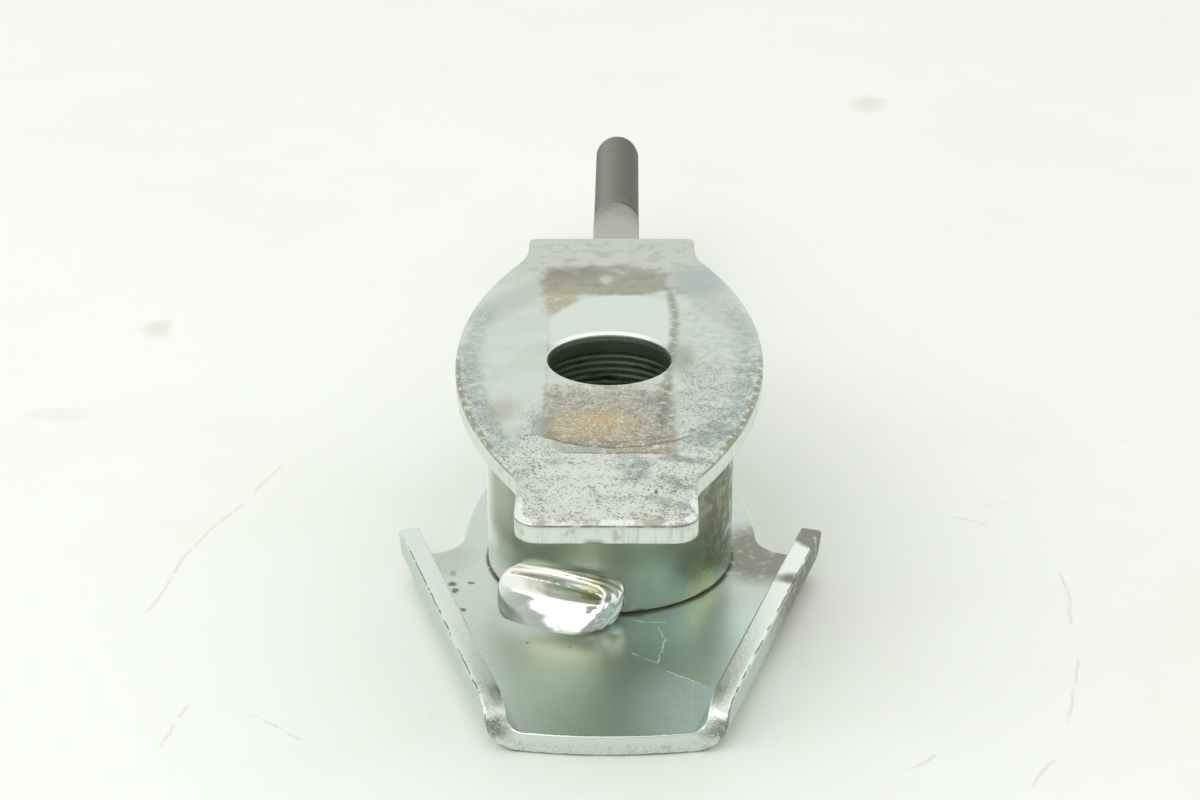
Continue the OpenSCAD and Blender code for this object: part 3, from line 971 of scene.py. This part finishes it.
def base_zinc(finish):
    """Bright plating of the base plate: scratches, a frosted print and dirt beside the collar."""
    coat = Coat("base_zinc", finish.base_zinc, 0.31)
    lay, step, grain, bump = coat.lay, coat.step, coat.grain, coat.bump
    patch, most = coat.patch, coat.most
    x, y, z = coat.x, coat.y, coat.z
    loose, ragged = coat.wander(4, 1.0), coat.wander(1.0, 0.4)
    top_z = (BASE_LOW.z + SHEET) / MM
    flat = step(z, top_z - 0.3, top_z - 0.05) * step(z, top_z + 0.6, top_z + 0.2)
    mottle = grain(6, 4, 0.55)
    cloud = grain(1.5, 4, 0.65)
    fine = grain(0.22, 2, 0.65)
    edge = coat.edge_mark()
    cut = step(edge, 0.02, 0.1) * step(edge, 0.98, 0.9)

    lay(step(mottle, 0.35, 0.7), (0.58, 0.67, 0.59))
    lay(flat * step(x, -9, 1) * step(y, -12, -20), (0.66, 0.84, 0.8), 0.75)
    lay(flat * step(y, -24, -40), (0.84, 0.98, 0.92), 0.75, rough=0.38)
    lay(flat * step(fine, 0.5, 0.66), (0.5, 0.58, 0.52), 0.4)
    lay(flat * patch((-4.5, -27.5), (6.0, 4.2), 0.8), (0.72, 0.66, 0.5), 0.45)
    lay(flat * patch((0.8, -24.2), (1.6, 1.8), 0.7), (0.72, 0.68, 0.46), 0.5)

    frosted = flat * patch((12.5, -41.0), (8.0, 9.6), 0.5, ragged) * step(x * 0.77 + y, -26.0, -26.5)
    lay(frosted, (0.6, 0.76, 0.76), 0.75, rough=0.46, metal=0.86)
    lay(frosted * step(fine, 0.52, 0.6), (0.92, 1.0, 0.98), 0.6, metal=0.6)

    runs = (
        (2.0, -18.3, 4.7, -19.5, 0.24),
        (4.7, -19.5, 7.8, -19.5, 0.22),
        (6.8, -21.1, 7.7, -24.4, 0.12),
        (7.7, -24.4, 6.6, -30.5, 0.15),
        (3.2, -27.8, 6.4, -30.4, 0.12),
        (7.9, -32.5, 13.0, -36.6, 0.12),
    )
    scratch = flat * coat.several(coat.stroke, runs, ragged) * step(grain(0.8, 2), 0.32, 0.46)
    lay(scratch, (0.9, 0.92, 0.86), 0.7, rough=0.5, metal=0.2)

    wall_gap = coat.reach(x, y) - COLLAR_R / MM
    crevice = (
        flat
        * step(wall_gap, 0.6, 0.15)
        * step(wall_gap, -1.0, -0.2)
        * step(grain(3, 3), 0.34, 0.46)
    )
    film = (
        step(z, top_z + 0.5, top_z - 0.1)
        * most(
            patch((21.8, 0.5), (6.6, 8.4), 0.35, loose),
            patch((-23.5, -1.0), (3.5, 5.0), 0.6, loose) * 0.25,
        )
    )
    lay(film * step(cloud, 0.2, 0.5), (0.22, 0.2, 0.14), 0.8, rough=0.5, metal=0.7)
    lay(crevice, finish.grime, 0.9, rough=0.6, metal=0.4)
    ragged_spots = (
        (-19.6, -8.5, 0.5, 0.4, 0.4),
        (-20.3, -16.2, 0.35, 0.5, 0.4),
        (-22.2, -8.8, 0.55, 0.6, 0.4),
        (-21.7, -10.8, 0.45, 0.7, 0.4),
    )
    round_spots = (-11.0, -25.2, 0.22, 0.25, 0.3), (-5.2, -26.3, 0.16, 0.18, 0.3)
    faint_spot = patch((-22.3, -5.6), (0.45, 0.8), 0.5, ragged) * 0.5
    spots = most(
        coat.several(patch, ragged_spots, ragged), coat.several(patch, round_spots, coat.place), faint_spot
    )
    lay(flat * spots, finish.grime, 0.9, metal=0.4)
    bright = patch((1.8, -26.3), (0.2, 0.22), 0.3)
    dots = coat.specks(1.9, 0.03, 0.08, loose) * step(grain(6, 2), 0.48, 0.6)
    lay(flat * most(bright, dots * 0.7), (0.86, 0.88, 0.82), 0.8)

    grainy = grain(0.3, 3, 0.7)
    across = grain(0.7, 3, 0.65, stretch=(1, 1, 0.25))
    # The flanges' edges and the front edge
    lay(cut, (0.74, 0.8, 0.74), 0.85, rough=0.32)
    rising = step(z, top_z + 1.6, top_z + 3.0)
    low_cut = cut * step(edge, 0.4, 0.52) * step(y, -38, -43)
    lay(low_cut * step(grainy, 0.5, 0.62), (0.36, 0.39, 0.32), 0.4, rough=0.45)
    lay(low_cut * step(cloud, 0.56, 0.66), (0.5, 0.44, 0.28), 0.5)
    chatter = cut * rising * step(grain(0.5, 3, 0.7, stretch=(0.5, 2, 1)), 0.56, 0.64)
    lay(chatter, (0.36, 0.4, 0.36), 0.3)
    lay(cut * rising * step(x, 10, 14) * step(edge, 0.85, 0.7), (0.92, 0.99, 0.93), 0.6)
    # Painted shadow: a dark line on the front part of the flanges, on the round between the cut edge and
    # the outer face.
    shade_line_at = edge + (cloud - 0.5) * 0.22
    split = step(abs(shade_line_at - 0.8), 0.06, 0.015) * step(grain(2.4, 3, 0.6), 0.42, 0.5) * step(y, 1, -6)
    lay(split, (0.14, 0.15, 0.12), 0.8, rough=0.5)
    # Painted shade: a dark line along the top of the front edge's round.
    painted_edge_shade = (
        step(abs(edge - 0.09), 0.06, 0.02)
        * step(grain(1.4, 3, 0.7), 0.42, 0.52)
        * step(y, -42, -45)
    )
    lay(painted_edge_shade, (0.2, 0.21, 0.16), 0.75, rough=0.5)
    corner = (
        cut
        * step(z, top_z - 1.4, top_z - 0.2)
        * step(z, top_z + 1.9, top_z + 0.9)
        * step(y, -41.5, -44)
        * step(abs(x), 12, 14)
    )
    pitted = corner * step(grainy, 0.44, 0.52)
    lay(corner, (0.52, 0.49, 0.36), 0.5, rough=0.42)
    lay(pitted, finish.speck, 0.65)
    slanted = y + (x - 29.0) * 1.2 + cloud
    rear_tip = step(x, 24, 26) * step(slanted, -5.8, -3.8) * rising
    smudge = patch((26.2, -13.5), (3.0, 1.5), 0.5, ragged)
    outer = step(edge, 0.8, 0.95) * step(x, 16, 22) * step(y, -32, -14)
    stained = most(rear_tip, outer, cut * smudge) * step(cloud, 0.2, 0.5)
    lay(stained, (0.21, 0.2, 0.145), 0.88, rough=0.5)

    bump(grain(11, 2), 0.06)
    bump(fine, 0.0035)
    bump(cut * across, 0.04)
    bump(most(low_cut, corner) * grainy, 0.05)
    bump(scratch, 0.02)
    bump(1.0 - most(pitted, split), 0.1)
    return coat.finish()


def collar_zinc(finish):
    """Satin plating of the turned collar, dirty on its right, with painted reflections and shade on its
    front, and painted shade with some dirt in the bore.
    """
    coat = Coat("collar_zinc", finish.collar_zinc, 0.27)
    lay, step, grain, bump = coat.lay, coat.step, coat.grain, coat.bump
    x, y = coat.x, coat.y
    loose = coat.wander(4, 1.2)
    loose_x, _, loose_z = coat.split(loose)
    mottle = grain(6, 4, 0.55, stretch=(1, 1, 0.6))
    cloud = grain(1.8, 4, 0.65)
    turned = grain(0.35, 2, 0.5, stretch=(0.04, 0.04, 1))
    lay(step(mottle, 0.35, 0.7), (0.46, 0.55, 0.45))
    outside = step(coat.reach(x, y), BORE_R / MM + 1, COLLAR_R / MM - 1)
    front = outside * step(y, -2, -8)
    # Painted reflection: a darker violet-brown band down the middle of the collar's front.
    painted_middle_reflection = front * step(abs(loose_x - 0.3), 3.6, 0.8)
    lay(painted_middle_reflection, (0.36, 0.29, 0.26), 0.5)
    # Painted reflection: the left flank of the collar's front is painted near white.
    pale = outside * step(loose_x, -12.2, -14.8) * step(y, 6, -2)
    lay(pale, (1.0, 1.0, 0.94), 0.9, rough=0.36)
    lime = front * step(abs(loose_x - 12.6), 2.6, 1.0) * step(loose_z, 13, 7)
    lay(lime, (0.66, 0.72, 0.42), 0.7)
    # Painted shade: the upper part of the collar's front, below the top plate, is painted dark green.
    under = front * step(loose_z, 8.0, 12.5)
    lay(under, (0.22, 0.25, 0.16), 0.7, rough=0.42)
    dirty = outside * step(loose_x, 10.8, 14.5) * step(loose_z + cloud, 5.0, 9.0)
    lay(dirty * step(cloud, 0.36, 0.56), (0.19, 0.17, 0.11), 0.8, rough=0.52, metal=0.7)
    foot_z = COLLAR_LOW.z / MM
    foot = step(loose_z, foot_z + 0.7, foot_z) * outside
    lay(foot, finish.grime, 0.85, rough=0.55, metal=0.4)
    bore = 1.0 - outside
    worn = grain(1.4, 3, 0.6, stretch=(0.25, 0.25, 1.6))
    # Painted shade: the bore is painted dark green, and its tool rings get brown dirt and near-black
    # painted shade.
    lay(bore, (0.28, 0.34, 0.25), 0.85, rough=0.5)
    lay(bore * step(worn, 0.5, 0.66), (0.42, 0.4, 0.28), 0.6)
    lay(bore * step(worn, 0.46, 0.36), (0.05, 0.05, 0.04), 0.75)
    bump(grain(8, 2), 0.04)
    bump(turned, 0.004)
    return coat.finish()


def stud_steel(finish):
    """Dull steel: grimy in the thread, lighter on the plain shank."""
    coat = Coat("stud_steel", finish.steel, 0.42)
    lay, step, grain, bump = coat.lay, coat.step, coat.grain, coat.bump
    thread_start = STUD_TIP / MM - 36
    blotch = grain(7, 4, 0.6)
    ahead = coat.y + (blotch - 0.5) * 8.0
    threaded = step(ahead, thread_start - 12, thread_start + 4)
    lay(step(blotch, 0.5, 0.7), (0.34, 0.31, 0.23), 0.35)
    lay(threaded, finish.thread, rough=0.52)
    across = coat.x - STUD_X / MM
    up = coat.z - STUD_Z / MM
    reach = coat.reach(across, up)
    groove = step(reach, THREAD_R / MM - 0.1, THREAD_R / MM - 0.6) * threaded
    lay(groove, (0.09, 0.085, 0.07), 0.55, rough=0.6, metal=0.6)
    rust = threaded * step(grain(2.2, 4, 0.65), 0.54, 0.66)
    lay(rust, (0.24, 0.2, 0.14), 0.4)
    bump(grain(0.6, 3, 0.6, stretch=(1, 0.3, 1)), 0.02)
    return coat.finish()


def weld_metal(finish):
    """Bright plating over smooth weld metal, with brown dirt at the toe."""
    coat = Coat("weld_metal", finish.weld, 0.13)
    lay, step, grain, patch, bump = coat.lay, coat.step, coat.grain, coat.patch, coat.bump
    mottle = grain(3, 3, 0.55)
    lay(step(mottle, 0.4, 0.75), (0.8, 0.84, 0.79))
    top_z = (BASE_LOW.z + SHEET) / MM
    # Painted reflection: the bead's upper face is tinted pinkish beige, as if it showed the top plate
    # above it.
    painted_crown_reflection = step(coat.z, top_z + 3.2, top_z + 4.6) * step(coat.y, 0, -10)
    lay(painted_crown_reflection * step(mottle, 0.35, 0.6), (0.95, 0.87, 0.77), 0.7, rough=0.28)
    gold = patch((-2.2, -19.8), (1.6, 1.4), 0.7)
    lay(gold, (0.8, 0.68, 0.38), 0.6)
    low = coat.z + (mottle - 0.5) * 1.6
    toe = step(low, top_z + 0.7, top_z + 0.1) * step(coat.x, -8, -3)
    lay(toe, (0.3, 0.25, 0.15), 0.8, rough=0.4)
    bump(grain(4, 2), 0.1)
    bump(grain(0.7, 3, 0.6), 0.005)
    return coat.finish()


# Operators


class ADJUSTER_OT_base_plate(bpy.types.Operator):
    """Stamp the base plate, fold up its sides and plate it"""

    bl_idname = "chain_adjuster.base_plate"
    bl_label = "Base Plate"

    def execute(self, context):
        bm = folded_sheet(context.scene.adjuster_sheets)
        show_piece("folded_base", bm, base_zinc(context.scene.adjuster_finish), "base_plate")
        return {"FINISHED"}


class ADJUSTER_OT_top_plate(bpy.types.Operator):
    """Stamp the top plate and plate it"""

    bl_idname = "chain_adjuster.top_plate"
    bl_label = "Top Plate"

    def execute(self, context):
        bm = flat_sheet(context.scene.adjuster_sheets)
        show_piece("stamped_top", bm, top_zinc(context.scene.adjuster_finish), "top_plate")
        return {"FINISHED"}


class ADJUSTER_OT_collar(bpy.types.Operator):
    """Turn the collar with its ringed bore"""

    bl_idname = "chain_adjuster.collar"
    bl_label = "Collar"

    def execute(self, context):
        settings = context.scene.adjuster_collar
        bm = spun(collar_profile(settings), settings.steps)
        show_piece("turned_collar", bm, collar_zinc(context.scene.adjuster_finish), "collar")
        return {"FINISHED"}


class ADJUSTER_OT_stud(bpy.types.Operator):
    """Cut the thread and run the shank to the collar"""

    bl_idname = "chain_adjuster.stud"
    bl_label = "Stud"

    def execute(self, context):
        bm = threaded_rod(context.scene.adjuster_stud)
        show_piece("threaded_stud", bm, stud_steel(context.scene.adjuster_finish), "stud")
        return {"FINISHED"}


class ADJUSTER_OT_beads(bpy.types.Operator):
    """Lay the weld beads"""

    bl_idname = "chain_adjuster.beads"
    bl_label = "Weld Beads"

    def execute(self, context):
        settings = context.scene.adjuster_beads
        material = weld_metal(context.scene.adjuster_finish)
        small, usual_r = (4.3 * MM, 3.1 * MM, 0.6 * MM, 1.45 * MM), 5.1 * MM
        beads = {
            "weld_base_front": (9.2 * MM, 5.2 * MM, 1.25 * MM, 2.5 * MM, -111.2, False),
            "weld_base_rear": (*small, 70, False),
            "weld_top_front": (*small, -70, True),
            "weld_top_rear": (*small, 110, True),
        }
        for node, (half_length, section_r, out, up, at, hangs) in beads.items():
            ripple = settings.ripple_height * section_r / usual_r
            bm = bead(half_length, section_r, out, up, at, ripple, hangs, settings.sunk)
            show_piece(node.replace("weld", "bead"), bm, material, node)
        show_piece("bead_stud", stud_bead(settings.sunk), material, "weld_stud")
        return {"FINISHED"}


class ADJUSTER_OT_stage(bpy.types.Operator):
    """Set the table, the lamps and the camera"""

    bl_idname = "chain_adjuster.stage"
    bl_label = "Stage"

    def execute(self, context):
        settings = context.scene.adjuster_stage
        lay_floor(settings)
        light_room(settings)
        place_camera()
        return {"FINISHED"}


def lay_floor(settings):
    """The table, far larger than the part."""
    bm = bmesh.new()
    bmesh.ops.create_grid(bm, x_segments=1, y_segments=1, size=3)
    mesh = bpy.data.meshes.new("table")
    bm.to_mesh(mesh)
    bm.free()
    table = bpy.data.objects.new("table", mesh)
    bpy.context.scene.collection.objects.link(table)
    mesh.materials.append(table_top(settings))


def table_top(settings):
    """Off-white paint with a few stains and scratches."""
    coat = Coat("table_top", settings.floor, 0.55)
    lay, step, grain, patch = coat.lay, coat.step, coat.grain, coat.patch
    coat.metal = 0.0
    coat.shader.inputs["Specular IOR Level"].default_value = 0.3
    ragged, bent = coat.wander(4, 2), coat.wander(14, 1.4)
    lay(step(grain(60, 4, 0.6), 0.45, 0.7), (0.83, 0.855, 0.8), 0.5)
    lay(step(grain(7, 5, 0.75), 0.6, 0.72), (0.8, 0.8, 0.745), 0.35)
    stains = coat.most(
        patch((55.1, 215.1), (3.5, 5.0), 0.6, ragged),
        patch((-80.6, 89.4), (2.2, 3.4), 0.7, ragged),
        patch((-91.0, 54.0), (5.0, 2.6), 0.6, ragged) * 0.4,
    )
    lay(stains, (0.66, 0.63, 0.53), 0.45)
    marks = (
        (-64.9, -11.7, -62.6, 5.3, 0.32),
        (-62.6, 5.3, -52.2, 34.5, 0.32),
        (65.2, 2.4, 64.6, -14.8, 0.32),
        (64.0, -24.3, 59.9, -40.2, 0.32),
        (57.2, -49.3, 53.8, -55.1, 0.32),
        (-55.3, -36.6, -57.7, -46.4, 0.32),
        (-47.0, -39.0, -39.7, -45.1, 0.32),
        (56.2, 15.3, 52.0, 17.5, 0.32),
        (38.5, -51.7, 42.0, -48.2, 0.32),
    )
    scratches = coat.several(coat.stroke, marks, bent)
    lay(scratches * step(grain(3, 3), 0.36, 0.5), (0.6, 0.56, 0.52), 0.38)
    return coat.finish()


def light_room(settings):
    """A pale room, duller towards the camera, and one soft lamp above the camera."""
    world = bpy.data.worlds.new("room")
    bpy.context.scene.world = world
    world.use_nodes = True
    board = Board(world.node_tree, "Generated")
    _, y, z = board.split(board.place)
    tone = board.mix(board.step(y, -0.75, 0.35), (0.40, 0.42, 0.40), (0.97, 0.98, 0.96))
    tone = board.mix(board.step(z, 0.35, 0.85), tone, (1.06, 1.06, 1.03))
    board.feed(board.nodes["Background"].inputs["Color"], tone)

    lamp = bpy.data.lights.new("front_lamp", "AREA")
    lamp.shape = "RECTANGLE"
    lamp.size = 1.2
    lamp.size_y = 0.6
    lamp.energy = settings.lamp_power
    lamp_object = bpy.data.objects.new("front_lamp", lamp)
    bpy.context.scene.collection.objects.link(lamp_object)
    lamp_object.location = (-0.60, -0.575, 0.65)
    aim = Vector((0, 0, 0.02)) - lamp_object.location
    lamp_object.rotation_euler = aim.to_track_quat("-Z", "Y").to_euler()


def place_camera():
    """The photograph's view: a long lens, about 25 degrees above the table."""
    elevation, yaw, roll = math.radians(24.845), math.radians(0.762), math.radians(-0.247)
    camera = bpy.data.cameras.new("camera")
    camera.lens = 77.607
    camera.sensor_width = 36
    camera.clip_start = 0.01
    camera.clip_end = 20
    camera_object = bpy.data.objects.new("camera", camera)
    bpy.context.scene.collection.objects.link(camera_object)
    back = Vector(
        (math.sin(yaw) * math.cos(elevation), -math.cos(yaw) * math.cos(elevation), math.sin(elevation))
    )
    level = Vector((math.cos(yaw), math.sin(yaw), 0))
    upright = back.cross(level)
    right = math.cos(roll) * level + math.sin(roll) * upright
    up = -math.sin(roll) * level + math.cos(roll) * upright
    turn = Matrix((right, up, back)).transposed().to_4x4()
    spot = Vector((3.063, -329.998, 180.480)) * MM
    camera_object.matrix_world = Matrix.Translation(spot) @ turn
    bpy.context.scene.camera = camera_object


class ADJUSTER_PT_panel(bpy.types.Panel):
    """Lists the pieces in the order in which they are built"""

    bl_idname = "ADJUSTER_PT_panel"
    bl_label = "Chain Adjuster"
    bl_space_type = "VIEW_3D"
    bl_region_type = "UI"
    bl_category = "Adjuster"

    def draw(self, context):
        for operator in OPERATORS:
            self.layout.operator(operator.bl_idname)
        for name, group in SETTINGS.items():
            box = self.layout.box()
            box.label(text=group.__doc__)
            for item in group.__annotations__:
                box.prop(getattr(context.scene, name), item)


OPERATORS = (
    ADJUSTER_OT_base_plate,
    ADJUSTER_OT_top_plate,
    ADJUSTER_OT_collar,
    ADJUSTER_OT_stud,
    ADJUSTER_OT_beads,
    ADJUSTER_OT_stage,
)
CLASSES = (*SETTINGS.values(), *OPERATORS, ADJUSTER_PT_panel)


def register():
    for item in CLASSES:
        bpy.utils.register_class(item)
    for name, group in SETTINGS.items():
        setattr(bpy.types.Scene, name, PointerProperty(type=group))


def unregister():
    for name in SETTINGS:
        delattr(bpy.types.Scene, name)
    for item in reversed(CLASSES):
        bpy.utils.unregister_class(item)


def main():
    register()
    bpy.ops.chain_adjuster.base_plate()
    bpy.ops.chain_adjuster.top_plate()
    bpy.ops.chain_adjuster.collar()
    bpy.ops.chain_adjuster.stud()
    bpy.ops.chain_adjuster.beads()
    bpy.ops.chain_adjuster.stage()
    bpy.context.scene.view_settings.view_transform = "Standard"


if __name__ == "__main__":
    main()
